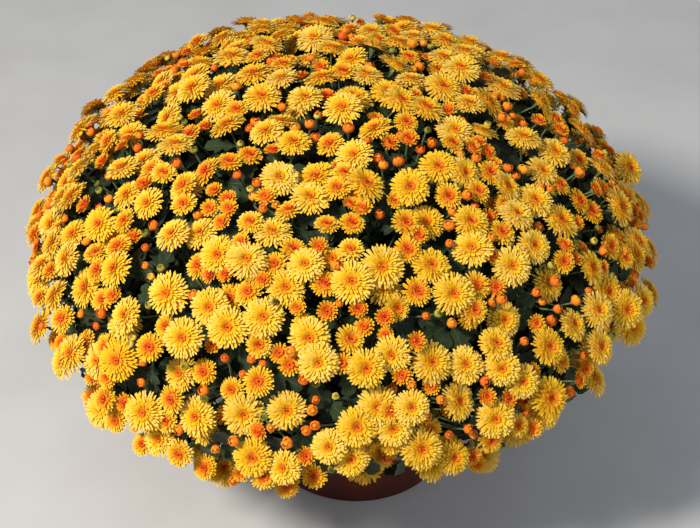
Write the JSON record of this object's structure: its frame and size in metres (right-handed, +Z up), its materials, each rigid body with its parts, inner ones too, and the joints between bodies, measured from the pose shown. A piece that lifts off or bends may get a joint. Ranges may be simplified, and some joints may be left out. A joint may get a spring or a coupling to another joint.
{
  "type": "potted chrysanthemum",
  "caption": "Bushy garden chrysanthemum in a round plastic pot: a dome of yellow and orange flower heads and buds on leafy branches that stand in the soil.",
  "frame": {"origin": "centre of the pot's base, on the surface that it stands on", "axes": "+Z up along the pot's axis; -Y faces the camera of the picture, with +X to its right"},
  "size_m": [0.705, 0.709, 0.532],
  "materials": {
    "pot_plastic": "satin moulded plastic, dark red-brown",
    "potting_soil": "dark, loose peat and bark",
    "flowers": "soft petals, bright yellow at the edge and orange in the middle",
    "foliage": "dark green leaves and paler green stems"
  },
  "bodies": {
    "root": {"pot": "pot_plastic", "soil": "potting_soil", "flower_branch_01": "flowers", "flower_branch_02": "flowers", "flower_branch_03": "flowers", "flower_branch_04": "flowers", "flower_branch_05": "flowers", "flower_branch_06": "flowers", "flower_branch_07": "flowers", "flower_branch_08": "flowers", "flower_branch_09": "flowers", "flower_branch_10": "flowers", "flower_branch_11": "flowers", "flower_branch_12": "flowers", "flower_branch_13": "flowers", "flower_branch_14": "flowers", "flower_branch_15": "flowers", "flower_branch_16": "flowers", "flower_branch_17": "flowers", "flower_branch_18": "flowers", "flower_branch_19": "flowers", "flower_branch_20": "flowers", "flower_branch_21": "flowers", "flower_branch_22": "flowers", "flower_branch_23": "flowers", "flower_branch_24": "flowers", "flower_branch_25": "flowers", "flower_branch_26": "flowers", "flower_branch_27": "flowers", "flower_branch_28": "flowers", "flower_branch_29": "flowers", "flower_branch_30": "flowers", "flower_branch_31": "flowers", "flower_branch_32": "flowers", "flower_branch_33": "flowers", "flower_branch_34": "flowers", "flower_branch_35": "flowers", "flower_branch_36": "flowers", "flower_branch_37": "flowers", "flower_branch_38": "flowers", "flower_branch_39": "flowers"}
  },
  "joints": []
}
